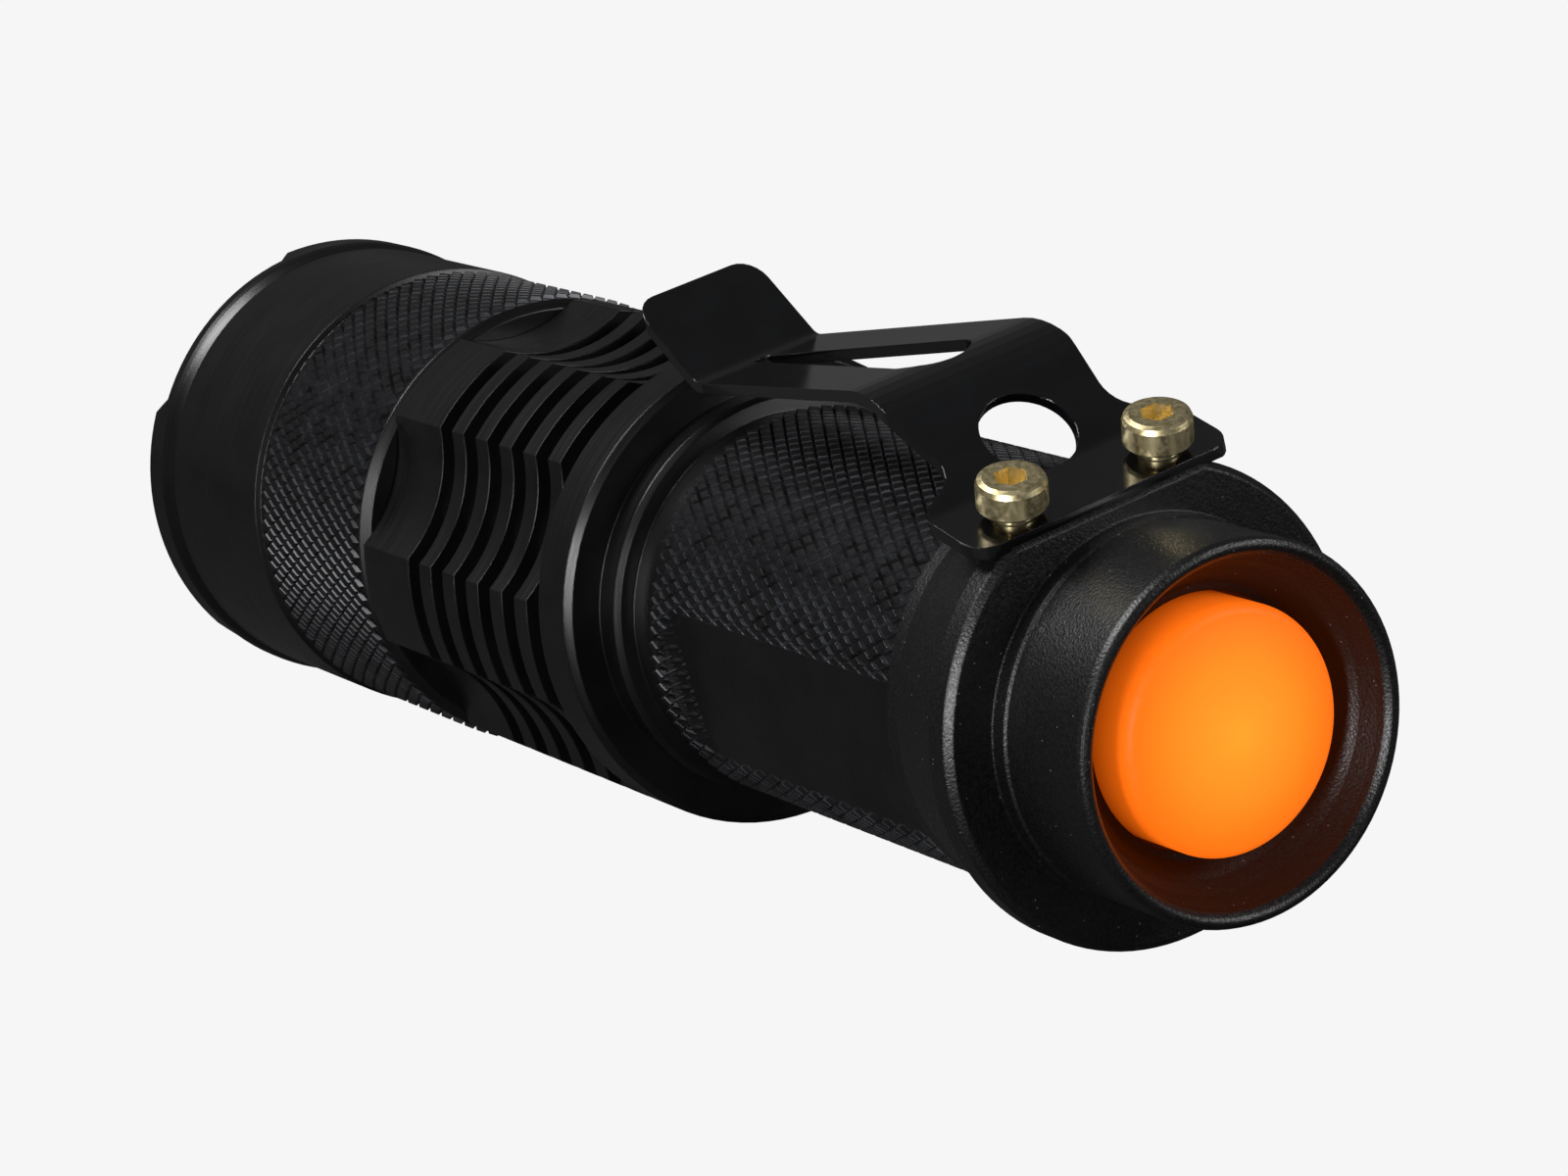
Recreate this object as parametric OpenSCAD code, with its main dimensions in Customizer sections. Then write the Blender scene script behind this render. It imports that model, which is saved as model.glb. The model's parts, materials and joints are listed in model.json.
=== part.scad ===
// Zoom pocket torch with a screwed tail cap, a push switch and a spring clip.
// The torch lies along +Y with its lens at the far end and its clip on top (+Z).
// The origin is the centre of the tail rim. Y values are distances from that rim.
// A radius is always measured from the torch's own axis unless it says otherwise.

/* [Tail cap] */
// Outer radius of the shroud round the push button
shroud_r = 9.25; // [8.9:0.05:10]
// Radius of the shroud's mouth at the rim
shroud_mouth_r = 8.3; // [8:0.05:8.7]
// Depth from the rim to the foot of the bowl round the button
shroud_depth = 3.5; // [3:0.1:4.2]
// Distance from the rim to the flange's rear face
flange_y = 6.9; // [6.5:0.1:8]
// Radius of the flange
flange_r = 11.9; // [11.4:0.1:13]
// Width of the flange's straight edge
flange_w = 1.9; // [1:0.1:2.5]
// Distance from the rim to the seam between cap and barrel
seam_y = 14.2; // [13.5:0.1:17]
// Thickness of the web that the button's boot comes through
web_t = 3.9; // [3.2:0.1:4.3]
// Major radius of the cap thread
cap_thread_r = 9.0; // [8.8:0.05:9.2]

/* [Barrel] */
// Radius over the knurling of the battery tube
tube_r = 10.45; // [10.2:0.05:11]
// Radius of the battery bore
bore_r = 7.55; // [7.4:0.05:7.7]
// Height of the knurling's points above its grooves
knurl_h = 0.22; // [0.1:0.02:0.4]
// Distance of each milled flat from the axis
flat_x = 9.4; // [9.1:0.05:9.9]
// Turn of the two flats about the axis
flat_turn = 3; // [-10:1:10]
// Front end of the tube's knurling
tube_knurl_y = 37.3; // [36:0.1:38]
// Radius of the rounded ring behind the collar
ring_r = 10.9; // [10.6:0.05:11.4]
// Rear edge of the collar
collar_y = 41; // [40:0.1:42]
// Radius of the collar and of the fins
collar_r = 12.9; // [12.4:0.05:13]
// Number of cooling grooves
groove_n = 6; // [3:1:6]
// Distance from one cooling groove to the next
groove_pitch = 2.74; // [2.4:0.02:2.8]
// Width of a cooling groove
groove_w = 1.4; // [1:0.05:1.6]
// Radius at the floor of a cooling groove
groove_floor_r = 10.5; // [9.8:0.05:11]
// Rear edge of the wide land in front of the grooves
land_y = 59.1; // [58:0.1:60]
// Number of scallops round the fins
scallop_n = 6; // [3:1:8]
// Radius of the cutter that makes a scallop
scallop_cut_r = 8; // [6:0.5:12]
// Deepest radius of a scallop
scallop_floor_r = 11.4; // [11.1:0.05:12]
// Turn of the scallops about the axis
scallop_turn = -2; // [-30:1:30]
// Radius of the neck that the head slides on
neck_r = 10.9; // [10.5:0.05:11]
// Front end of the neck
neck_end_y = 78.4; // [77:0.1:79]

/* [Head] */
// Rear edge of the head sleeve when closed
sleeve_y = 64.6; // [64:0.1:66]
// Front end of the crenellated rim when closed
head_end_y = 93; // [92:0.1:96]
// Radius over the head's knurled band
head_knurl_r = 13.1; // [12.9:0.05:13.5]
// Front end of the head's knurled band
head_knurl_y = 78; // [76:0.1:80]
// Radius of the head's smooth band
band_r = 13.25; // [13.1:0.05:13.8]
// Front end of the smooth band
band_y = 89.6; // [88.5:0.1:90.5]
// Radius of the crenellated rim
rim_r = 13.55; // [13.4:0.05:14]
// Number of teeth on the rim
tooth_n = 3; // [3:1:6]
// Depth of the notches between the teeth
notch_depth = 1.6; // [1:0.1:2]
// Turn of the notches about the axis
notch_turn = 0; // [-60:1:60]
// Radius of the wide bore that slides over the stop ring
head_bore_r = 11.9; // [11.7:0.05:12.1]
// Radius of the lens
lens_r = 10.2; // [9.8:0.05:10.4]
// Height of the lens dome above its edge
lens_dome_h = 5.2; // [4:0.1:5.6]
// Travel of the head from closed to open
zoom_travel = 7; // [4:0.5:7]

/* [Battery and light] */
// Radius of the battery over its sleeve
cell_r = 7.25; // [7:0.05:7.3]
// Length of the battery with its nose
cell_len = 50.5; // [50:0.1:51]
// Rear end of the battery
cell_y = 18; // [17.5:0.1:18.3]
// Radius of the plug that carries the light
pill_r = 8.45; // [8.3:0.05:8.6]
// Edge of the square LED package
led_side = 3.45; // [3:0.05:5]

/* [Switch] */
// Radius of the boot's dome
boot_r = 6.05; // [5.5:0.05:6.4]
// Wall of the boot
boot_wall = 0.9; // [0.7:0.05:1.2]
// Distance from the rim to the top of the dome
boot_tip_y = 0.25; // [0:0.05:1]
// Travel of the button
press_travel = 1.4; // [0.8:0.1:1.5]
// Edge of the square switch housing
housing_side = 8; // [7:0.1:9]

/* [Clip] */
// Thickness of the clip's steel
clip_t = 0.6; // [0.4:0.05:0.8]
// Half width of the clip's base plate
plate_half_w = 7.6; // [6.8:0.1:8]
// Tilt of the clip's seat towards the head
clip_tilt = 15; // [8:1:18]
// Height of the seat above the axis at its rear edge
seat_z = 10.15; // [10.1:0.05:10.6]
// Rear edge of the clip's base plate
plate_y = 7.1; // [7:0.05:7.6]
// Distance from the rim to the clip's upturned tip
clip_tip_y = 42; // [41:0.1:42.5]
// Diameter of the round hole in the clip's rise
clip_hole_d = 4.8; // [4:0.1:5.4]
// Distance of each screw from the clip's middle
screw_x = 4.3; // [4:0.1:4.8]
// Diameter of the screws' thread
screw_d = 2; // [1.6:0.1:2]
// Diameter of the screw heads
head_d = 3.4; // [3.2:0.1:4]
// Height of the screw heads
head_h = 1.6; // [1.4:0.1:2]
// Height of the screw heads above the clip
head_gap = 0.5; // [0:0.1:0.8]

/* [Fits] */
// Radial clearance of parts that slide or turn in each other
run_gap = 0.05; // [0.02:0.01:0.1]
// Gap between the closed head and the barrel's shoulder
stop_gap = 0.1; // [0.05:0.05:0.3]
// Radial gap round parts that only drop into place
loose_gap = 0.15; // [0.1:0.05:0.2]

/* [Hidden] */
$fn = 96;

eps = 0.01;
far = 40;
finish_black = "#1b1b1d";
finish_paint = "#0c0c0e";
brass = "#b79a5a";
steel = "#b8bbbe";
rubber = "#151515";

// Lengths that several pieces share
edge = 0.35;
cap_nose_r = tube_r + 0.1;
web_y = shroud_depth + web_t;
boot_hole_r = boot_r + loose_gap;
skirt_r = cap_thread_r - 0.8;
skirt_t = 0.8;
washer_t = 0.3;
housing_flange_t = 0.5;
ring_t = 1.2;
washer_y = web_y + skirt_t;
housing_y = washer_y + washer_t;
ring_y = housing_y + housing_flange_t;
barrel_tail_y = ring_y + ring_t + 0.3;
stem_end_y = housing_y + 1.3;
switch_spring_len = press_travel + 1.1;
switch_bore_end_y = stem_end_y + switch_spring_len;
housing_end_y = switch_bore_end_y + 0.7;
switch_board_t = 1;
switch_board_r = bore_r - 2 * loose_gap;
board_end_y = housing_end_y + switch_board_t;
land_front_y = sleeve_y - stop_gap;
tube_root_r = tube_r - knurl_h;
head_root_r = head_knurl_r - knurl_h;
front_bore_r = pill_r + run_gap;
front_bore_y = cell_y + cell_len + 1.8;
stop_ring_r = head_bore_r - 2 * run_gap;
stop_ring_y = neck_end_y - 3.4;
stop_step = 0.6;
rear_bore_end_y = stop_ring_y - zoom_travel - 0.3;
oring_r = 0.5;
oring_y = neck_end_y - 1.7;
oring_floor_r = head_bore_r - run_gap - 2 * oring_r;
tail_oring_y = seam_y - 0.7;
oring_groove = 0.5;

// Pulls +Z of a turned profile onto the torch's +Y
module along_y() {
    rotate([-90, 0, 0]) children();
}

// Turned solid from [radius, y] points
module turned(profile) {
    along_y() rotate_extrude() polygon(profile);
}

// Plain tube between two places on the axis
module tube(outer, inner, y0, y1) {
    turned([[inner, y0], [outer, y0], [outer, y1], [inner, y1]]);
}

// Plain disc between two places on the axis
module disc(r, y0, y1) {
    translate([0, y0, 0]) along_y() cylinder(r = r, h = y1 - y0);
}

// Rubber ring of circular section
module rubber_ring(centre_r, section_r, y) {
    translate([0, y, 0]) along_y() rotate_extrude() translate([centre_r, 0])
        circle(r = section_r, $fn = 32);
}

// Coil spring between two places on the axis, its wire swept with eight sides
coil_sides = 8;
coil_steps = 18;

function coil_ring(radius, y, angle, wire_r) =
    [for (j = [0 : coil_sides - 1])
        let (b = 360 * j / coil_sides, r = radius + wire_r * cos(b))
        [r * cos(angle), y + wire_r * sin(b), r * sin(angle)]];

module coil(r0, r1, wire_r, y0, y1, turns) {
    n = coil_steps * turns;
    rise = y1 - y0 - 2 * wire_r;
    m = coil_sides;
    points = [for (i = [0 : n]) each
        coil_ring(r0 + (r1 - r0) * i / n, y0 + wire_r + rise * i / n, i * 360 / coil_steps, wire_r)];
    sides = [for (i = [0 : n - 1], j = [0 : m - 1]) each
        let (a = i * m + j, b = i * m + (j + 1) % m)
        [[a, a + m, b], [b, a + m, b + m]]];
    caps = [[for (j = [0 : m - 1]) j], [for (j = [m - 1 : -1 : 0]) n * m + j]];
    polyhedron(points = points, faces = concat(sides, caps));
}

// ---- clip geometry ----
// Straight runs of the clip's under side as [y, z, bend radius], rear to tip
seat_slope = tan(clip_tilt);
clip_rise_y = 11.2;
clip_corners = [
    [plate_y, seat_z + (plate_y - flange_y) * seat_slope, 0],
    [clip_rise_y, seat_z + (clip_rise_y - flange_y) * seat_slope, 2.2],
    [17.2, 15.95, 4.5],
    [37.2, 13.05, 1.6],
    [43, 17.4, 0]
];

rise_angle = atan2(clip_corners[2][1] - clip_corners[1][1], clip_corners[2][0] - clip_corners[1][0]);
clip_hole_y = 13;
clip_hole_z = clip_corners[1][1] + (clip_hole_y - clip_rise_y) * tan(rise_angle);

function unit(v) = v / norm(v);
function left_of(v) = [-v[1], v[0]];

// Points of the bend at b, on the way from a to c, offset sideways by s
function bend_points(a, b, c, r, s, steps) =
    let (u = unit(b - a), v = unit(c - b), turn = u[0] * v[1] - u[1] * v[0],
         side = turn > 0 ? 1 : -1, angle = acos(u * v), cut = r * tan(angle / 2),
         centre = b - u * cut + left_of(u) * side * r, n = -left_of(u) * side)
    [for (k = [0 : steps])
        let (t = side * angle * k / steps)
        centre + (r - side * s) * [n[0] * cos(t) - n[1] * sin(t), n[0] * sin(t) + n[1] * cos(t)]];

// A path of straight runs with a bend at each inner [x, y, radius] corner
function bent(corners, s = 0, steps = 6) =
    let (p = [for (c = corners) [c[0], c[1]]], last = len(p) - 1)
    concat(
        [p[0] + left_of(unit(p[1] - p[0])) * s],
        [for (i = [1 : last - 1]) each bend_points(p[i - 1], p[i], p[i + 1], corners[i][2], s, steps)],
        [p[last] + left_of(unit(p[last] - p[last - 1])) * s]
    );

function reversed(v) = [for (i = [len(v) - 1 : -1 : 0]) v[i]];

// Half of the clip's outline seen from above, as [half width, y, corner radius]
neck_half_w = plate_half_w - 2.85;
arm_half_w = plate_half_w - 2.1;
clip_tip_half_w = plate_half_w - 3.8;
clip_outline = bent([
    [0, plate_y - 0.1, 0],
    [plate_half_w, plate_y - 0.1, 1.3],
    [plate_half_w, 11.1, 1.1],
    [neck_half_w, 12.3, 1.4],
    [arm_half_w, 16, 2.5],
    [arm_half_w - 0.6, 23.5, 8],
    [clip_tip_half_w, 36.6, 3],
    [clip_tip_half_w, clip_tip_y, 1.3],
    [0, clip_tip_y, 0]
]);

// Long tapered slot in the arm, seen from above
slot_tail = [19.9, 2.1];
slot_head = [36.2, 0.55];

module clip_slot() {
    linear_extrude(height = far) {
        translate([0, slot_tail[0]]) circle(r = slot_tail[1], $fn = 48);
        translate([0, slot_head[0]]) circle(r = slot_head[1], $fn = 24);
        polygon([[-slot_tail[1], slot_tail[0]], [slot_tail[1], slot_tail[0]],
                 [slot_head[1], slot_head[0]], [-slot_head[1], slot_head[0]]]);
    }
}

// Moves a tool drawn along +Z onto the tilted clip seat at x, y
screw_y = 8.75;
module on_seat(x, y) {
    translate([x, y, seat_z + (y - flange_y) * seat_slope]) rotate([clip_tilt, 0, 0]) children();
}

screw_tip = 1.5;

// ---- tail cap body ----
module tail_cap_shape() {
    bowl_w = shroud_mouth_r - boot_hole_r;
    turned([
        [boot_hole_r, shroud_depth],
        [boot_hole_r + 0.2 * bowl_w, shroud_depth - 0.1],
        [boot_hole_r + 0.55 * bowl_w, shroud_depth * 0.74],
        [boot_hole_r + 0.82 * bowl_w, shroud_depth * 0.47],
        [shroud_mouth_r, shroud_depth * 0.2],
        [shroud_mouth_r + 0.12, 0.3],
        [shroud_mouth_r + 0.35, 0.06],
        [shroud_mouth_r + 0.5, 0],
        [shroud_r - 0.3, 0],
        [shroud_r - 0.1, 0.12],
        [shroud_r, 0.4],
        [shroud_r, flange_y - 1],
        [shroud_r + 0.12, flange_y - 0.9],
        [shroud_r + 0.12, flange_y],
        [flange_r - edge, flange_y],
        [flange_r, flange_y + edge],
        [flange_r, flange_y + flange_w - edge],
        [flange_r - edge, flange_y + flange_w],
        [cap_nose_r + 0.35, seam_y - 2.2],
        [cap_nose_r, seam_y - 1.0],
        [cap_nose_r, seam_y - 0.15],
        [cap_nose_r - 0.15, seam_y],
        [cap_thread_r, seam_y],
        [cap_thread_r, web_y],
        [boot_hole_r, web_y]
    ]);
}

module tail_cap() {
    color(finish_black) difference() {
        tail_cap_shape();
        translate([0, flange_y, seat_z]) rotate([clip_tilt, 0, 0])
            translate([-far / 2, 0, 0]) cube([far, far, far / 2]);
        for (side = [-1, 1])
            on_seat(side * screw_x, screw_y) translate([0, 0, -screw_tip]) cylinder(d = screw_d, h = far, $fn = 48);
    }
}

// Boot: skirt clamped behind the web, wall through the hole, shallow dome
dome_h = 1.7;
boot_corner = 0.55;
module switch_boot() {
    top = boot_tip_y + dome_h;
    color("darkorange") turned([
        [0, boot_tip_y],
        [boot_r * 0.35, boot_tip_y + 0.06],
        [boot_r * 0.62, boot_tip_y + 0.3],
        [boot_r * 0.82, boot_tip_y + 0.72],
        [boot_r * 0.95, boot_tip_y + 1.3],
        [boot_r, top + boot_corner],
        [boot_r, web_y],
        [skirt_r, web_y],
        [skirt_r, web_y + skirt_t],
        [boot_r - boot_wall, web_y + skirt_t],
        [boot_r - boot_wall, top + boot_wall],
        [boot_r * 0.75, boot_tip_y + 1.1 + boot_wall],
        [boot_r * 0.45, boot_tip_y + 0.4 + boot_wall],
        [0, boot_tip_y + 0.2 + boot_wall]
    ]);
}

module boot_washer() {
    color(steel) tube(skirt_r, boot_r - boot_wall, washer_y, housing_y);
}

module switch_ring() {
    color(brass) difference() {
        tube(cap_thread_r - run_gap, cap_thread_r - 2.2, ring_y, ring_y + ring_t);
        for (side = [-1, 1])
            translate([side * (cap_thread_r - 1.1), ring_y, 0]) along_y()
                cylinder(r = 0.6, h = ring_t + eps, $fn = 32);
    }
}

// Plunger: a cap that stands in the boot and a stem that runs in the housing
plunger_r = 2.4;
stem_r = 1.5;
plunger_y = boot_tip_y + boot_wall + 0.45;
plunger_step_y = plunger_y + 3.2;
switch_spring_r = 1.2;

module switch_housing() {
    color("ivory") difference() {
        union() {
            disc(skirt_r, housing_y, ring_y);
            translate([-housing_side / 2, ring_y - eps, -housing_side / 2])
                cube([housing_side, housing_end_y - ring_y + eps, housing_side]);
        }
        disc(stem_r + run_gap, housing_y - 1, switch_bore_end_y);
    }
}

module switch_plunger() {
    color("white") {
        turned([
            [0, plunger_y],
            [plunger_r - 0.3, plunger_y],
            [plunger_r, plunger_y + 0.3],
            [plunger_r, plunger_step_y],
            [stem_r, plunger_step_y],
            [stem_r, stem_end_y],
            [0, stem_end_y]
        ]);
    }
}

module switch_spring() {
    color(steel) coil(switch_spring_r, switch_spring_r, 0.11, stem_end_y, switch_bore_end_y, 4);
}

module switch_board() {
    color("darkgreen") disc(switch_board_r, housing_end_y, board_end_y);
}

module tail_spring() {
    color(steel) coil(5, 2.6, 0.35, board_end_y, cell_y, 4);
}

module pocket_clip() {
    color(finish_paint) difference() {
        intersection() {
            rotate([90, 0, 90]) translate([0, 0, -far / 2])
                linear_extrude(height = far)
                    polygon(concat(bent(clip_corners), reversed(bent(clip_corners, clip_t))));
            linear_extrude(height = far)
                polygon(concat(clip_outline, [for (i = [len(clip_outline) - 2 : -1 : 1])
                    [-clip_outline[i][0], clip_outline[i][1]]]));
        }
        for (side = [-1, 1])
            on_seat(side * screw_x, screw_y) translate([0, 0, -1]) cylinder(d = screw_d + 0.2, h = 4, $fn = 48);
        translate([0, clip_hole_y, clip_hole_z]) rotate([rise_angle, 0, 0]) translate([0, 0, -3])
            cylinder(d = clip_hole_d, h = 6);
        clip_slot();
    }
}

module clip_screw() {
    under = clip_t + head_gap;
    difference() {
        union() {
            translate([0, 0, -screw_tip]) cylinder(d = screw_d, h = screw_tip + under + eps, $fn = 48);
            translate([0, 0, under]) rotate_extrude($fn = 64) polygon([
                [0, 0],
                [head_d / 2 - 0.15, 0],
                [head_d / 2, 0.15],
                [head_d / 2, head_h - 0.35],
                [head_d / 2 - 0.1, head_h - 0.1],
                [head_d / 2 - 0.35, head_h],
                [0, head_h]
            ]);
        }
        translate([0, 0, under + head_h - 1]) cylinder(d = 1.7, h = 2, $fn = 6);
    }
}

module clip_screws() {
    color(brass) for (side = [-1, 1]) on_seat(side * screw_x, screw_y) clip_screw();
}

// ---- battery ----
nose_len = 1.3;
cell_can_r = cell_r - 0.2;

module battery_can() {
    color(steel) disc(cell_can_r, cell_y, cell_y + cell_len - nose_len);
}

module battery_sleeve() {
    color("slategray") tube(cell_r, cell_can_r, cell_y + 0.3, cell_y + cell_len - nose_len - 0.2);
}

module battery_nose() {
    color(steel) disc(2.75, cell_y + cell_len - nose_len, cell_y + cell_len);
}

// ---- barrel ----
function groove_front(i) = land_y - i * groove_pitch;
scallop_end_y = groove_front(groove_n - 1) - groove_w;

module barrel_shape() {
    turned([
        [bore_r, barrel_tail_y],
        [cap_thread_r - run_gap - edge, barrel_tail_y],
        [cap_thread_r - run_gap, barrel_tail_y + edge],
        [cap_thread_r - run_gap, tail_oring_y - oring_groove],
        [cap_thread_r - 0.85, tail_oring_y - oring_groove],
        [cap_thread_r - 0.85, tail_oring_y + oring_groove],
        [cap_thread_r - run_gap, tail_oring_y + oring_groove],
        [cap_thread_r - run_gap, seam_y + stop_gap],
        [tube_root_r - 0.2, seam_y + stop_gap],
        [tube_root_r, seam_y + stop_gap + 0.2],
        [tube_root_r, tube_knurl_y - 0.2],
        [tube_root_r - 0.2, tube_knurl_y],
        [tube_r - 0.55, tube_knurl_y + 0.3],
        [tube_r - 0.55, collar_y - 1.9],
        [ring_r - 0.25, collar_y - 1.75],
        [ring_r, collar_y - 1.45],
        [ring_r, collar_y],
        [collar_r - edge, collar_y],
        [collar_r, collar_y + edge],
        [collar_r, land_front_y],
        [neck_r, land_front_y],
        [neck_r, stop_ring_y - 0.2],
        [neck_r - stop_step, stop_ring_y - 0.2],
        [neck_r - stop_step, neck_end_y],
        [front_bore_r, neck_end_y],
        [front_bore_r, front_bore_y],
        [bore_r, front_bore_y]
    ]);
}

module cooling_grooves() {
    for (i = [0 : groove_n - 1])
        tube(collar_r + 1, groove_floor_r, groove_front(i) - groove_w, groove_front(i));
}

module scallops() {
    middle = (scallop_end_y + groove_front(groove_n - 1)) / 2;
    for (i = [0 : scallop_n - 1])
        rotate([0, -(scallop_turn + 90 + i * 360 / scallop_n), 0])
            translate([scallop_floor_r + scallop_cut_r, middle, 0])
                along_y() cylinder(r = scallop_cut_r, h = land_front_y - middle + 1);
}

module tube_flats() {
    runout = 2;
    depth = tube_r - flat_x + 1;
    end_y = tube_knurl_y - 3.2;
    for (half = [0, 180])
        rotate([0, -(flat_turn + half), 0]) {
            translate([flat_x, seam_y - 1, -far / 4]) cube([depth, end_y - seam_y + 1, far / 2]);
            translate([flat_x + runout, end_y, -far / 4]) cylinder(r = runout, h = far / 2);
        }
}

module barrel() {
    color(finish_black) difference() {
        barrel_shape();
        cooling_grooves();
        scallops();
        tube_flats();
    }
}

module stop_ring() {
    color(finish_black) turned([
        [neck_r - stop_step, stop_ring_y],
        [stop_ring_r, stop_ring_y],
        [stop_ring_r, oring_y - 0.6],
        [oring_floor_r, oring_y - 0.6],
        [oring_floor_r, oring_y + 0.6],
        [stop_ring_r, oring_y + 0.6],
        [stop_ring_r, neck_end_y],
        [neck_r - stop_step, neck_end_y]
    ]);
}

module focus_oring() {
    color(rubber) rubber_ring(head_bore_r - run_gap - oring_r, oring_r, oring_y);
}

module tail_oring() {
    color(rubber) rubber_ring(cap_thread_r - run_gap - 0.38, 0.38, tail_oring_y);
}

// ---- light engine ----
pill_y = front_bore_y;
pill_end_y = 75.6;
driver_t = 1;
driver_y = pill_y + 0.2;
driver_r = pill_r - 0.35;
wire_r = 0.45;
wire_x = 5.4;
star_t = 1.4;

module led_pill() {
    color("silver") difference() {
        tube(pill_r, 0, pill_y, pill_end_y);
        disc(driver_r, pill_y - 1, driver_y + driver_t);
        disc(driver_r - 1.1, pill_y, pill_end_y - 1.2);
        for (side = [-1, 1])
            translate([side * wire_x, pill_y, 0]) along_y()
                cylinder(r = wire_r + 0.25, h = far, $fn = 32);
    }
}

module led_board() {
    color("white") difference() {
        disc(pill_r - 0.5, pill_end_y, pill_end_y + star_t);
        for (side = [-1, 1])
            translate([side * wire_x, pill_end_y - 1, 0]) along_y()
                cylinder(r = wire_r + 0.25, h = 4, $fn = 32);
    }
}

led_y = pill_end_y + star_t;
led_t = 0.7;

module led_package() {
    color("ivory") translate([-led_side / 2, led_y, -led_side / 2]) cube([led_side, led_t, led_side]);
}

module led_dome() {
    color("gold") intersection() {
        translate([0, led_y + led_t, 0]) sphere(r = 1.3, $fn = 48);
        translate([-2, led_y + led_t, -2]) cube([4, 2, 4]);
    }
}

module led_leads() {
    color("red") for (side = [-1, 1]) {
        translate([side * wire_x, driver_y + driver_t, 0]) along_y()
            cylinder(r = wire_r, h = led_y + 0.5 - driver_y - driver_t, $fn = 32);
        translate([side * wire_x, led_y + 0.5, 0]) rotate([0, -90 * side, 0])
            cylinder(r = wire_r, h = 2, $fn = 32);
    }
}

module driver_board() {
    color("darkgreen") disc(driver_r - loose_gap, driver_y, driver_y + driver_t);
}

module driver_parts() {
    base = driver_y + driver_t;
    color("dimgray") {
        translate([-2, base, -2]) cube([4, 1.8, 4]);
        translate([-3.5, base, 3]) cube([3, 1.1, 1.6]);
        translate([1, base, 3]) cube([2.2, 0.9, 1.3]);
        translate([-1.5, base, -4.8]) cube([3.2, 1, 1.6]);
    }
}

module driver_spring() {
    color(steel) coil(2.2, 3.2, 0.3, cell_y + cell_len, driver_y, 3);
}

// ---- head ----
seat_y = 83;
seat_t = 1.6;
lens_oring_r = 0.42;
lens_y = seat_y + 2 * lens_oring_r;
lens_edge_t = 1.5;
lens_ring_y = lens_y + lens_edge_t;
lens_ring_t = 2.2;
lens_pocket_r = lens_r + 0.7;
mouth_r = rim_r - 1.3;

module head_shape() {
    turned([
        [neck_r + run_gap, sleeve_y],
        [head_knurl_r - 0.7, sleeve_y],
        [head_root_r, sleeve_y + 0.7 - knurl_h],
        [head_root_r, head_knurl_y],
        [band_r, head_knurl_y + 0.15],
        [band_r, band_y],
        [band_r - 0.15, band_y + 0.15],
        [rim_r - 0.1, band_y + 0.8],
        [rim_r, band_y + 1.1],
        [rim_r, head_end_y - 0.5],
        [rim_r - 0.4, head_end_y],
        [mouth_r, head_end_y],
        [lens_pocket_r, head_end_y - 2.6],
        [lens_pocket_r, seat_y],
        [lens_r - 0.6, seat_y],
        [lens_r - 0.6, seat_y - seat_t],
        [head_bore_r, seat_y - seat_t],
        [head_bore_r, rear_bore_end_y],
        [neck_r + run_gap, rear_bore_end_y]
    ]);
}

// One notch: a wedge of the rim with sloping flanks
module rim_notch() {
    half = 180 / tooth_n / 2;
    slope = 5.5;
    top = head_end_y + 1;
    floor_y = head_end_y - notch_depth;
    rotate([0, -90, 0]) translate([0, 0, mouth_r - 4]) linear_extrude(height = 8)
        polygon([
            [-rim_r * sin(half - slope), floor_y],
            [rim_r * sin(half - slope), floor_y],
            [rim_r * sin(half) + 0.9, top],
            [-rim_r * sin(half) - 0.9, top]
        ]);
}

module head_sleeve() {
    color(finish_black) difference() {
        head_shape();
        for (i = [0 : tooth_n - 1])
            rotate([0, -(notch_turn + 120 + i * 360 / tooth_n + 180), 0]) rim_notch();
    }
}

// Plano-convex lens: a spherical cap on a thin edge
module lens() {
    dome_r = (pow(lens_r - 0.7, 2) + pow(lens_dome_h, 2)) / (2 * lens_dome_h);
    color("lightcyan", 0.5) union() {
        disc(lens_r, lens_y, lens_ring_y);
        intersection() {
            translate([0, lens_ring_y + lens_dome_h - dome_r, 0]) sphere(r = dome_r);
            disc(lens_r, lens_ring_y - eps, lens_ring_y + lens_dome_h + 1);
        }
    }
}

module lens_oring() {
    color(rubber) rubber_ring(lens_r - lens_oring_r + 0.3, lens_oring_r, seat_y + lens_oring_r);
}

module lens_ring() {
    color(finish_black) tube(lens_pocket_r - run_gap, lens_r - 0.65, lens_ring_y, lens_ring_y + lens_ring_t);
}

head_sleeve();
lens();
lens_oring();
lens_ring();
barrel();
stop_ring();
focus_oring();
tail_oring();
led_pill();
led_board();
led_package();
led_dome();
led_leads();
driver_board();
driver_parts();
driver_spring();
battery_can();
battery_sleeve();
battery_nose();
tail_cap();
switch_boot();
boot_washer();
switch_ring();
switch_housing();
switch_plunger();
switch_spring();
switch_board();
tail_spring();
pocket_clip();
clip_screws();
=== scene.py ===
# %% [markdown]
# # A zoom pocket torch
# The torch is black anodised aluminium with a sliding head, a knurled barrel with cooling fins,
# a screwed tail cap, an orange silicone push button and a painted spring clip.
# It lies along +Y with its lens at the far end and its clip on top. All sizes are in metres.

# %% Load the parts
import json
import math
import bmesh
import bpy
from mathutils import Matrix, Vector


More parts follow.
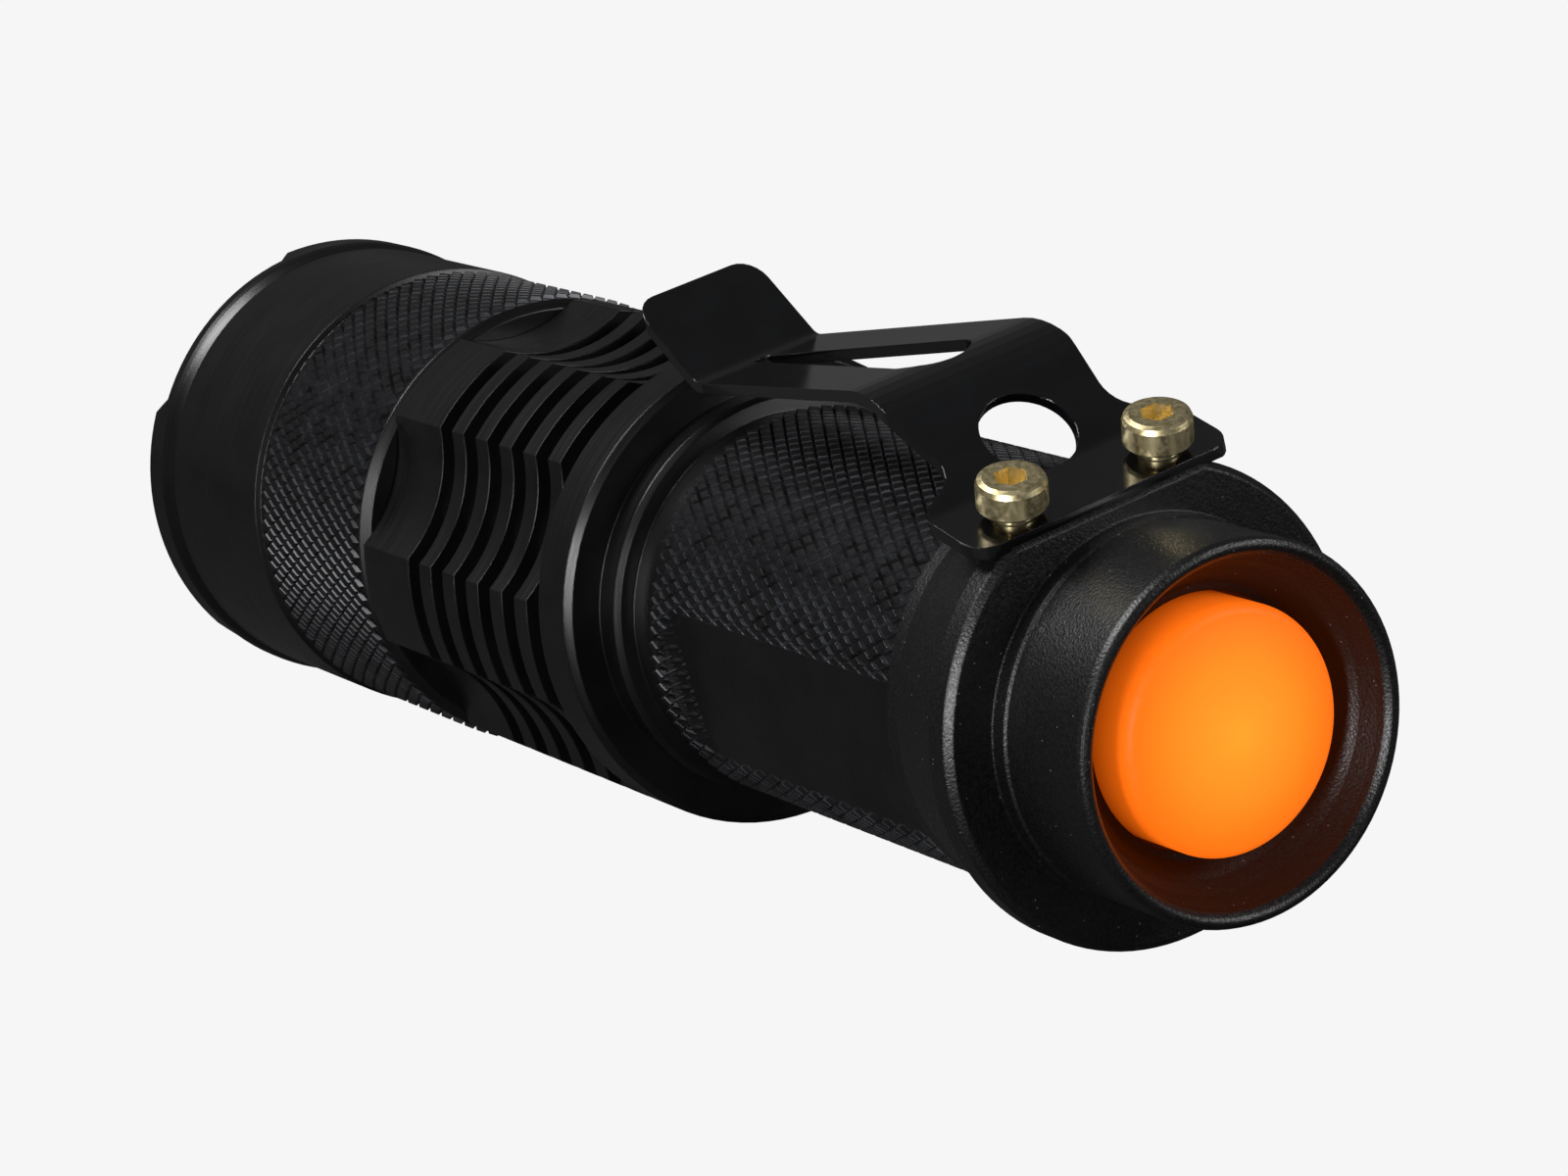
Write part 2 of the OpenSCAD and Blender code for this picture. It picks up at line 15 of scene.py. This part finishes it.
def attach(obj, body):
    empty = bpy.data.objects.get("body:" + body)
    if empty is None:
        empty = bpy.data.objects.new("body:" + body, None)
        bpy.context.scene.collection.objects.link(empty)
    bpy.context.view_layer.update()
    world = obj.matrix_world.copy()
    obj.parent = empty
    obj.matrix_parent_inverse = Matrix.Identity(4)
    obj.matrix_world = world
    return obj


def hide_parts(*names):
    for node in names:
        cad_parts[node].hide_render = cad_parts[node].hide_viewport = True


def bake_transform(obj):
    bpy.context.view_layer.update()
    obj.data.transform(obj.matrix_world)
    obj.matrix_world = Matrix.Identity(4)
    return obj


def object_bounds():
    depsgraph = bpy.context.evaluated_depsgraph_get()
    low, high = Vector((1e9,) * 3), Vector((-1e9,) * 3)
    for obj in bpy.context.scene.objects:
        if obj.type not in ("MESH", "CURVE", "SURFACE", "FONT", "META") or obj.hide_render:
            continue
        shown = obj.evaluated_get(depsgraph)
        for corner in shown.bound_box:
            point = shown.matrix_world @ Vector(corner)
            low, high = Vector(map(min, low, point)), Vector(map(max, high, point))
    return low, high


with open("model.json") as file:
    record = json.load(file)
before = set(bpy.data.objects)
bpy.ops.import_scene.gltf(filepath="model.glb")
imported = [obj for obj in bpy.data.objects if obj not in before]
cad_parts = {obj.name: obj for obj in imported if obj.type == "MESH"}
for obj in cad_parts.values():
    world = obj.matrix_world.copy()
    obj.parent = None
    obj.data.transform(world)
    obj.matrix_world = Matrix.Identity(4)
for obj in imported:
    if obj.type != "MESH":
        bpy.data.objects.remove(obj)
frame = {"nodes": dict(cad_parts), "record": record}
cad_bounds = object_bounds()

nodes = frame["nodes"]
print(len(nodes), "parts, bounds", cad_bounds)

# %% [markdown]
# ## Helpers
# Colours are written as sRGB hex. One helper adds a shader node, sets its values and makes its links.

# %% Helpers
MM = 0.001


def colour(code):
    """Turns an sRGB hex code into a linear colour."""
    parts = [int(code[i:i + 2], 16) / 255 for i in (1, 3, 5)]
    linear = [c / 12.92 if c <= 0.04045 else ((c + 0.055) / 1.055) ** 2.4 for c in parts]
    return (*linear, 1.0)


def add(tree, kind, settings=None, inputs=None, links=None):
    """Adds one shader node. Links map an input of it to another node's (node, output) pair."""
    node = tree.nodes.new(kind)
    for name, value in (settings or {}).items():
        setattr(node, name, value)
    for name, value in (inputs or {}).items():
        node.inputs[name].default_value = value
    for name, (source, output) in (links or {}).items():
        tree.links.new(source.outputs[output], node.inputs[name])
    return node


def ramp(tree, source, output, stops):
    """Adds a colour ramp with (place, colour) stops."""
    node = add(tree, "ShaderNodeValToRGB", links={"Fac": (source, output)})
    points = node.color_ramp.elements
    while len(points) < len(stops):
        points.new(1.0)
    for point, (place, value) in zip(points, stops):
        point.position = place
        point.color = value
    return node


def grey(level):
    return (level, level, level, 1.0)


def start_material(name):
    """Makes a material whose texture space is in millimetres of the torch's own frame."""
    material = bpy.data.materials.new(name)
    material.use_nodes = True
    tree = material.node_tree
    shader = tree.nodes["Principled BSDF"]
    place = add(tree, "ShaderNodeTexCoord")
    space = add(tree, "ShaderNodeMapping", inputs={"Scale": (1000, 1000, 1000)},
                links={"Vector": (place, "Object")})
    return material, tree, shader, space


def noise(tree, space, per_mm, detail=2.0, stretch=(1, 1, 1), roughness=0.5):
    """Adds noise with a set number of cells per millimetre."""
    size = add(tree, "ShaderNodeMapping", inputs={"Scale": stretch}, links={"Vector": (space, "Vector")})
    return add(tree, "ShaderNodeTexNoise", inputs={"Scale": per_mm, "Detail": detail, "Roughness": roughness},
               links={"Vector": (size, "Vector")})


def bump(tree, shader, source, output, height_mm, strength=1.0):
    """Adds relief of a real height to a shader, over any relief it already has."""
    node = add(tree, "ShaderNodeBump", inputs={"Strength": strength, "Distance": height_mm * MM},
               links={"Height": (source, output)})
    if shader.inputs["Normal"].is_linked:
        before = shader.inputs["Normal"].links[0].from_socket
        tree.links.new(before, node.inputs["Normal"])
    tree.links.new(node.outputs["Normal"], shader.inputs["Normal"])


def soften(tree, shader, radius_mm):
    """Shades edges as if they were rounded to a real radius. It comes before any relief."""
    node = add(tree, "ShaderNodeBevel", {"samples": 4}, {"Radius": radius_mm * MM})
    tree.links.new(node.outputs["Normal"], shader.inputs["Normal"])


def set_shader(shader, **values):
    for name, value in values.items():
        shader.inputs[name.replace("_", " ")].default_value = value


print("helpers ready")

# %% [markdown]
# ## Finishes
# Black anodise is a thin dyed oxide: nearly black, with a satin sheen and faint turning lines.
# The tail cap is bead-blasted before anodising, so it is grainy; a few pits get light grey painted glints,
# standing in for light catching them.

# %% Anodised aluminium
def satin_anodise(name):
    material, tree, shader, space = start_material(name)
    turning = noise(tree, space, 5.0, 2.0, (0.03, 1, 0.03))
    cloud = noise(tree, space, 0.35, 3.0)
    tint = ramp(tree, cloud, "Fac", [(0.35, colour("#050506")), (0.7, colour("#0a0a0b"))])
    tree.links.new(tint.outputs["Color"], shader.inputs["Base Color"])
    sheen = ramp(tree, turning, "Fac", [(0.3, grey(0.26)), (0.7, grey(0.36))])
    tree.links.new(sheen.outputs["Color"], shader.inputs["Roughness"])
    set_shader(shader, Metallic=0.0, Specular_IOR_Level=0.38)
    soften(tree, shader, 0.12)
    bump(tree, shader, turning, "Fac", 0.004, 0.5)
    grain = noise(tree, space, 9.0, 1.0)
    bump(tree, shader, grain, "Fac", 0.006, 0.5)
    return material


def blasted_anodise(name):
    material, tree, shader, space = start_material(name)
    pits = add(tree, "ShaderNodeTexVoronoi", {"feature": "F1"}, {"Scale": 7.0}, {"Vector": (space, "Vector")})
    grain = noise(tree, space, 6.0, 3.0, roughness=0.6)
    # Light grey specks on a few pits: painted glints in the base colour.
    glint_cells = add(tree, "ShaderNodeTexVoronoi", {"feature": "F1"}, {"Scale": 3.4}, {"Vector": (space, "Vector")})
    pick = add(tree, "ShaderNodeSeparateColor", links={"Color": (glint_cells, "Color")})
    rare = add(tree, "ShaderNodeMath", {"operation": "GREATER_THAN"}, {1: 0.9}, {0: (pick, "Red")})
    near = add(tree, "ShaderNodeMath", {"operation": "LESS_THAN"}, {1: 0.15}, {0: (glint_cells, "Distance")})
    painted_glint = add(tree, "ShaderNodeMath", {"operation": "MULTIPLY"}, links={0: (rare, "Value"), 1: (near, "Value")})
    tint = ramp(tree, grain, "Fac", [(0.35, colour("#050506")), (0.72, colour("#0c0c0d"))])
    mixed = add(tree, "ShaderNodeMix", {"data_type": "RGBA"}, {7: colour("#4c4d50")},
                {0: (painted_glint, "Value"), 6: (tint, "Color")})
    tree.links.new(mixed.outputs[2], shader.inputs["Base Color"])
    sheen = ramp(tree, grain, "Fac", [(0.3, grey(0.3)), (0.7, grey(0.44))])
    tree.links.new(sheen.outputs["Color"], shader.inputs["Roughness"])
    set_shader(shader, Metallic=0.0, Specular_IOR_Level=0.42)
    soften(tree, shader, 0.18)
    bump(tree, shader, pits, "Distance", 0.02, 0.6)
    bump(tree, shader, grain, "Fac", 0.03, 0.6)
    return material


print("anodise ready")

# %% [markdown]
# The clip has gloss black paint over spring steel. The screws have a passivated brass finish.

# %% Paint and metals
def gloss_paint(name):
    material, tree, shader, space = start_material(name)
    peel = noise(tree, space, 1.4, 2.0)
    dust = noise(tree, space, 0.5, 4.0)
    tint = ramp(tree, dust, "Fac", [(0.4, colour("#030304")), (0.8, colour("#060709"))])
    tree.links.new(tint.outputs["Color"], shader.inputs["Base Color"])
    sheen = ramp(tree, dust, "Fac", [(0.35, grey(0.1)), (0.75, grey(0.17))])
    tree.links.new(sheen.outputs["Color"], shader.inputs["Roughness"])
    set_shader(shader, Coat_Weight=0.6, Coat_Roughness=0.1)
    soften(tree, shader, 0.12)
    bump(tree, shader, peel, "Fac", 0.006, 0.3)
    return material


def plain_metal(name, dark, light, rough, lines=(1, 1, 1), relief=0.006):
    material, tree, shader, space = start_material(name)
    streak = noise(tree, space, 4.0, 3.0, lines)
    tint = ramp(tree, streak, "Fac", [(0.3, colour(dark)), (0.7, colour(light))])
    tree.links.new(tint.outputs["Color"], shader.inputs["Base Color"])
    sheen = ramp(tree, streak, "Fac", [(0.3, grey(rough - 0.06)), (0.7, grey(rough + 0.08))])
    tree.links.new(sheen.outputs["Color"], shader.inputs["Roughness"])
    set_shader(shader, Metallic=1.0)
    bump(tree, shader, streak, "Fac", relief, 0.5)
    return material


def painted_highlight_anodise(name):
    """Knurl flanks painted lighter and part metallic: a painted highlight for the bright lines along the groove
    edges.
    """
    material, tree, shader, space = start_material(name)
    highlight_patches = noise(tree, space, 0.8, 3.0)
    tint = ramp(tree, highlight_patches, "Fac", [(0.35, colour("#121214")), (0.7, colour("#34353a"))])
    tree.links.new(tint.outputs["Color"], shader.inputs["Base Color"])
    sheen = ramp(tree, highlight_patches, "Fac", [(0.3, grey(0.38)), (0.7, grey(0.5))])
    tree.links.new(sheen.outputs["Color"], shader.inputs["Roughness"])
    set_shader(shader, Metallic=0.4)
    fine = noise(tree, space, 8.0, 1.0)
    bump(tree, shader, fine, "Fac", 0.004, 0.5)
    return material


print("metals ready")

# %% [markdown]
# Silicone lets light in and scatters it. The button also has a painted glow, brighter and yellower
# in the middle, fading to painted shade down the side wall, and a base colour painted darker at the rim.

# %% Rubber, plastic and glass
def silicone(name):
    material, tree, shader, space = start_material(name)
    split = add(tree, "ShaderNodeSeparateXYZ", links={"Vector": (space, "Vector")})
    flat = add(tree, "ShaderNodeCombineXYZ", links={"X": (split, "X"), "Z": (split, "Z")})
    radius = add(tree, "ShaderNodeVectorMath", {"operation": "LENGTH"}, links={0: (flat, "Vector")})
    across = add(tree, "ShaderNodeMath", {"operation": "DIVIDE"}, {1: 7.0}, {0: (radius, "Value")})
    # Emission colour of the painted glow: brighter and yellower in the middle, though the button is no lamp.
    tint = ramp(tree, across, "Value",
                [(0.0, colour("#ff9d2c")), (0.5, colour("#ff8a20")), (0.84, colour("#f96e10"))])
    # Fades the painted glow into a dark red-brown down the side wall: painted shade.
    painted_wall_shade = add(tree, "ShaderNodeMapRange",
                inputs={"From Min": 1.1, "From Max": 4.4, "To Min": 1.0, "To Max": 0.1},
                links={"Value": (split, "Y")})
    painted_glow = add(tree, "ShaderNodeMix", {"data_type": "RGBA"}, {6: colour("#5a1500")},
               {0: (painted_wall_shade, "Result"), 7: (tint, "Color")})
    tree.links.new(painted_glow.outputs[2], shader.inputs["Emission Color"])
    # Base colour painted darker towards the rim: painted shade.
    body = ramp(tree, across, "Value", [(0.0, colour("#c96a10")), (0.84, colour("#b84a06"))])
    tree.links.new(body.outputs["Color"], shader.inputs["Base Color"])
    matte = noise(tree, space, 3.0, 2.0)
    sheen = ramp(tree, matte, "Fac", [(0.3, grey(0.46)), (0.7, grey(0.58))])
    tree.links.new(sheen.outputs["Color"], shader.inputs["Roughness"])
    # Emission_Strength sets how bright the painted glow is.
    set_shader(shader, Subsurface_Weight=0.5, Subsurface_Scale=0.001,
               Subsurface_Radius=(2.2, 0.7, 0.15), Emission_Strength=0.8, Specular_IOR_Level=0.15)
    bump(tree, shader, matte, "Fac", 0.01, 0.4)
    return material


def moulded(name, dark, light, rough, relief=0.01, **values):
    material, tree, shader, space = start_material(name)
    cloud = noise(tree, space, 2.0, 3.0)
    tint = ramp(tree, cloud, "Fac", [(0.3, colour(dark)), (0.7, colour(light))])
    tree.links.new(tint.outputs["Color"], shader.inputs["Base Color"])
    sheen = ramp(tree, cloud, "Fac", [(0.3, grey(rough - 0.05)), (0.7, grey(rough + 0.06))])
    tree.links.new(sheen.outputs["Color"], shader.inputs["Roughness"])
    set_shader(shader, **values)
    fine = noise(tree, space, 7.0, 1.0)
    bump(tree, shader, fine, "Fac", relief, 0.5)
    return material


def lens_glass(name):
    material, tree, shader, space = start_material(name)
    film = noise(tree, space, 0.3, 2.0)
    sheen = ramp(tree, film, "Fac", [(0.4, grey(0.0)), (0.8, grey(0.03))])
    tree.links.new(sheen.outputs["Color"], shader.inputs["Roughness"])
    set_shader(shader, Base_Color=colour("#f4fbfb"), Transmission_Weight=1.0, IOR=1.49)
    bump(tree, shader, film, "Fac", 0.001, 0.2)
    return material


finishes = {
    "black_anodise": satin_anodise("satin_black_anodise"),
    "blasted_anodise": blasted_anodise("blasted_black_anodise"),
    "lens": lens_glass("moulded_lens"),
    "black_rubber": moulded("nitrile_rubber", "#0c0c0c", "#151515", 0.6),
    "bare_aluminium": plain_metal("turned_aluminium", "#a9acb0", "#c6c8cb", 0.3, (0.1, 1, 0.1)),
    "board_white": moulded("white_solder_mask", "#dcdcd4", "#eeeee8", 0.4),
    "led_ceramic": moulded("led_ceramic", "#d8d2be", "#e8e4d4", 0.45),
    "led_silicone": moulded("led_phosphor_dome", "#e2c22a", "#f0d648", 0.15, Transmission_Weight=0.3),
    "wire_red": moulded("red_wire_jacket", "#8f1010", "#b01818", 0.4),
    "board_green": moulded("green_solder_mask", "#0b4a22", "#10602d", 0.35),
    "chip_black": moulded("moulded_epoxy", "#161616", "#232323", 0.5),
    "spring_steel": plain_metal("drawn_spring_wire", "#9a9c9e", "#bcbec0", 0.28),
    "can_steel": plain_metal("plated_steel", "#a2a4a6", "#c4c6c8", 0.22, (0.2, 1, 0.2)),
    "battery_film": moulded("shrink_film", "#26303a", "#303c48", 0.28),
    "orange_silicone": silicone("orange_silicone"),
    "brass": plain_metal("turned_brass", "#a8873e", "#c9a85c", 0.25, (0.1, 1, 0.1)),
    "switch_plastic": moulded("switch_housing_nylon", "#cfc8b0", "#ddd6c2", 0.45),
    "plunger_plastic": moulded("plunger_acetal", "#dedede", "#ececec", 0.4),
    "clip_paint": gloss_paint("gloss_black_paint"),
    "screw_brass": plain_metal("passivated_brass", "#e2cf98", "#f0e2b6", 0.34, (1, 1, 1), 0.002),
}

# Lighter finish for the knurl flanks: a painted highlight.
painted_highlight_flank = painted_highlight_anodise("knurl_flank_painted_highlight")

for subpart in frame["record"]["subparts"]:
    mesh = nodes[subpart["node"]].data
    mesh.materials.clear()
    mesh.materials.append(finishes[subpart["material_slot"]])
print(len(finishes), "finishes on", len(nodes), "parts")

# %% [markdown]
# ## Knurling
# Two families of narrow V grooves cross and leave flat-topped diamonds, longer along the torch
# than round it.
# Each diamond has four raised corners and four sloping sides that run down to the grooves.

# %% Knurling
TUBE_ROOT = 10.23
TUBE_TOP = 10.45
HEAD_ROOT = 12.88
HEAD_TOP = 13.1
FLAT_X = 9.4
FLAT_TURN = math.radians(3)
FLAT_END = 34.1
FLAT_RUNOUT = 2.0
FLAT_SINK = 0.03
ROOT_LIFT = 0.02
GROOVE_SHARE = 0.3
LENGTHEN = 1.75


def flat_limit(y):
    """Distance of the milled flat from the axis at y, or None in front of it."""
    if y <= FLAT_END:
        return FLAT_X
    if y >= FLAT_END + FLAT_RUNOUT:
        return None
    return FLAT_X + FLAT_RUNOUT - math.sqrt(FLAT_RUNOUT ** 2 - (y - FLAT_END) ** 2)


def under_flats(x, y, z):
    """Keeps a point just below the two milled flats."""
    limit = flat_limit(y)
    if limit is None:
        return x, z
    c, s = math.cos(FLAT_TURN), math.sin(FLAT_TURN)
    across, along = c * x + s * z, -s * x + c * z
    if abs(across) > limit - FLAT_SINK:
        across = math.copysign(limit - FLAT_SINK, across)
    return c * across - s * along, s * across + c * along



def knurl(name, root, top, y0, y1, count, body, flats=False):
    """Knurled band between two places on the axis, with a number of diamonds round it."""
    step_angle = math.pi / count
    rows = 2 * round((y1 - y0) / (2 * LENGTHEN * root * step_angle))
    step_y = (y1 - y0) / rows
    mesh = bmesh.new()
    corners = {}

    def point(i, j, r):
        """A point at lattice place (i, j), either of which may be a fraction."""
        angle, y = step_angle * i, y0 + step_y * min(max(j, 0), rows)
        x, z = r * math.cos(angle), r * math.sin(angle)
        if flats:
            x, z = under_flats(x, y, z)
        return mesh.verts.new((x * MM, y * MM, z * MM))

    def pit(i, j):
        key = (i % (2 * count), j)
        if key not in corners:
            corners[key] = point(i, j, root)
        return corners[key]

    keep = 1 - GROOVE_SHARE
    for j in range(1, rows):
        for i in range(2 * count):
            if (i + j) % 2 == 0:
                continue
            around = [(1, 0), (0, 1), (-1, 0), (0, -1)]
            low = [pit(i + di, j + dj) for di, dj in around]
            high = [point(i + keep * di, j + keep * dj, top) for di, dj in around]
            mesh.faces.new((high[0], high[1], high[3]))
            mesh.faces.new((high[1], high[2], high[3]))
            for k in range(4):
                n = (k + 1) % 4
                # The four sloping sides take the lighter flank finish, a painted highlight.
                mesh.faces.new((low[k], low[n], high[n], high[k])).material_index = 1
    data = bpy.data.meshes.new(name)
    bmesh.ops.recalc_face_normals(mesh, faces=mesh.faces)
    mesh.to_mesh(data)
    mesh.free()
    piece = bpy.data.objects.new(name, data)
    bpy.context.scene.collection.objects.link(piece)
    data.materials.append(finishes["black_anodise"])
    data.materials.append(painted_highlight_flank)
    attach(piece, body)
    print(name, len(data.vertices), "points")


knurl("tube_knurl", TUBE_ROOT + ROOT_LIFT, TUBE_TOP, 14.45, 37.2, 84, "barrel", flats=True)
knurl("head_knurl", HEAD_ROOT + ROOT_LIFT, HEAD_TOP, 65.12, 77.97, 96, "head")

# %% [markdown]
# ## Push button
# The button is one moulding: a flat dome that rolls into a thin wall, and a skirt under the web.
# In the real torch its dome goes in with the switch while its skirt stays clamped; here it is one still mesh.

# %% Push button
def revolved(name, profile, segments=160):
    """Turns a (radius, y) profile in mm round the torch's axis."""
    mesh = bmesh.new()
    rings = []
    for r, y in profile:
        if r == 0:
            rings.append([mesh.verts.new((0, y * MM, 0))])
            continue
        angles = [2 * math.pi * i / segments for i in range(segments)]
        rings.append([mesh.verts.new((r * math.cos(a) * MM, y * MM, r * math.sin(a) * MM)) for a in angles])
    for low, high in zip(rings, rings[1:]):
        for i in range(segments):
            k = (i + 1) % segments
            corners = [low[i % len(low)], low[k % len(low)], high[k % len(high)], high[i % len(high)]]
            unique = list(dict.fromkeys(corners))
            mesh.faces.new(unique)
    bmesh.ops.recalc_face_normals(mesh, faces=mesh.faces)
    for face in mesh.faces:
        face.smooth = True
    data = bpy.data.meshes.new(name)
    mesh.to_mesh(data)
    mesh.free()
    piece = bpy.data.objects.new(name, data)
    bpy.context.scene.collection.objects.link(piece)
    return piece


BOOT_R = 6.05
CORNER_R = 0.6
TIP_Y = 0.26
CROWN = 0.5
DOME_STEPS = 24
CORNER_STEPS = 10
dome = []
for k in range(DOME_STEPS + 1):
    share = k / DOME_STEPS
    dome.append(((BOOT_R - CORNER_R) * share, TIP_Y + CROWN * share ** 2.2))
corner = []
for k in range(1, CORNER_STEPS + 1):
    angle = math.pi / 2 * k / CORNER_STEPS
    corner.append((BOOT_R - CORNER_R + CORNER_R * math.sin(angle),
                   TIP_Y + CROWN + CORNER_R * (1 - math.cos(angle))))
wall = [(BOOT_R, y) for y in (1.8, 2.4, 3.0, 3.8, 4.6, 5.3, 6.2, 7.4)]
skirt = [(8.2, 7.4), (8.2, 8.2), (5.15, 8.2)]
inside = [(5.15, y) for y in (6.4, 5.2, 4.2, 3.2, 2.5)]
under = [(4.7, 1.9), (4.0, 1.62), (3.0, 1.5), (1.8, 1.42), (0, 1.36)]
boot = revolved("button_boot", dome + corner + wall + skirt + inside + under)
boot.data.materials.append(finishes["orange_silicone"])
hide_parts("switch_boot")
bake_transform(boot)
print("button", len(boot.data.vertices), "points")

# %% [markdown]
# ## Table, light and camera
# A plain pale table, a large soft light above on the left, a smaller one behind the camera on the
# right, and a low strip that draws the bright lines along the edges.

# %% Table
TABLE_SIZE = 6
TABLE_GAP = 0.0002
floor_z = cad_bounds[0][2] - TABLE_GAP
bpy.ops.mesh.primitive_plane_add(size=TABLE_SIZE, location=(0, 0, floor_z))
table = bpy.context.object
table.name = "table"
surface = bpy.data.materials.new("pale_table")
surface.use_nodes = True
tree = surface.node_tree
tree.nodes["Principled BSDF"].inputs["Base Color"].default_value = colour("#303030")
tree.nodes["Principled BSDF"].inputs["Roughness"].default_value = 0.9
seen = add(tree, "ShaderNodeEmission", inputs={"Color": colour("#f6f6f6"), "Strength": 1.0})
table_path = add(tree, "ShaderNodeLightPath")
shown = add(tree, "ShaderNodeMixShader", links={0: (table_path, "Is Camera Ray")})
tree.links.new(tree.nodes["Principled BSDF"].outputs["BSDF"], shown.inputs[1])
tree.links.new(seen.outputs["Emission"], shown.inputs[2])
tree.links.new(shown.outputs["Shader"], tree.nodes["Material Output"].inputs["Surface"])
table.data.materials.append(surface)

world = bpy.data.worlds.new("studio")
bpy.context.scene.world = world
world.use_nodes = True
tree = world.node_tree
background = tree.nodes["Background"]
path = add(tree, "ShaderNodeLightPath")
level = add(tree, "ShaderNodeMix", {"data_type": "RGBA"}, {6: grey(0.09), 7: grey(0.93)},
            {0: (path, "Is Camera Ray")})
tree.links.new(level.outputs[2], background.inputs["Color"])


def soft_light(name, place, aim, size, power):
    """Rectangular light aimed at a point, both in millimetres."""
    light = bpy.data.lights.new(name, "AREA")
    light.shape = "RECTANGLE"
    light.size, light.size_y = size[0] * MM, size[1] * MM
    light.energy = power
    lamp = bpy.data.objects.new(name, light)
    bpy.context.scene.collection.objects.link(lamp)
    lamp.location = Vector(place) * MM
    direction = Vector(aim) * MM - lamp.location
    lamp.rotation_euler = direction.to_track_quat("-Z", "Y").to_euler()


soft_light("key", (-150, 160, 380), (0, 40, 0), (160, 200), 1.8)
soft_light("fill", (300, -300, 140), (0, 10, 0), (120, 160), 0.9)
soft_light("strip", (-300, -190, 90), (0, 30, 0), (36, 180), 1.3)

# %% Camera
LENS_MM = 103.365
SENSOR_MM = 36
AZIMUTH, ELEVATION, ROLL = -28.11, 18.97, -13.90
ORIGIN = Vector((21.21, 6.787, 206.792))


def aim(azimuth, elevation, roll):
    """Camera axes (right, down, forward) for a turn about +Z, a tilt down and a roll, in degrees."""
    a, e, r = math.radians(azimuth), math.radians(elevation), math.radians(roll)
    forward = Vector((-math.sin(a) * math.cos(e), math.cos(a) * math.cos(e), -math.sin(e)))
    right = Vector((math.cos(a), math.sin(a), 0))
    down = -right.cross(forward)
    return (right * math.cos(r) - down * math.sin(r), right * math.sin(r) + down * math.cos(r), forward)


right, down, forward = aim(AZIMUTH, ELEVATION, ROLL)
camera = bpy.data.objects.new("camera", bpy.data.cameras.new("camera"))
bpy.context.scene.collection.objects.link(camera)
camera.data.sensor_width = SENSOR_MM
camera.data.lens = LENS_MM
camera.data.clip_start = 0.01
camera.data.clip_end = 20
place = -(right * ORIGIN.x + down * ORIGIN.y + forward * ORIGIN.z) * MM
turn = Matrix((right, -down, -forward)).transposed().to_4x4()
camera.matrix_world = Matrix.Translation(place) @ turn
bpy.context.scene.camera = camera
bpy.context.scene.view_settings.view_transform = "Standard"
print("camera", [round(v, 3) for v in camera.location], "lens", round(camera.data.lens, 1))
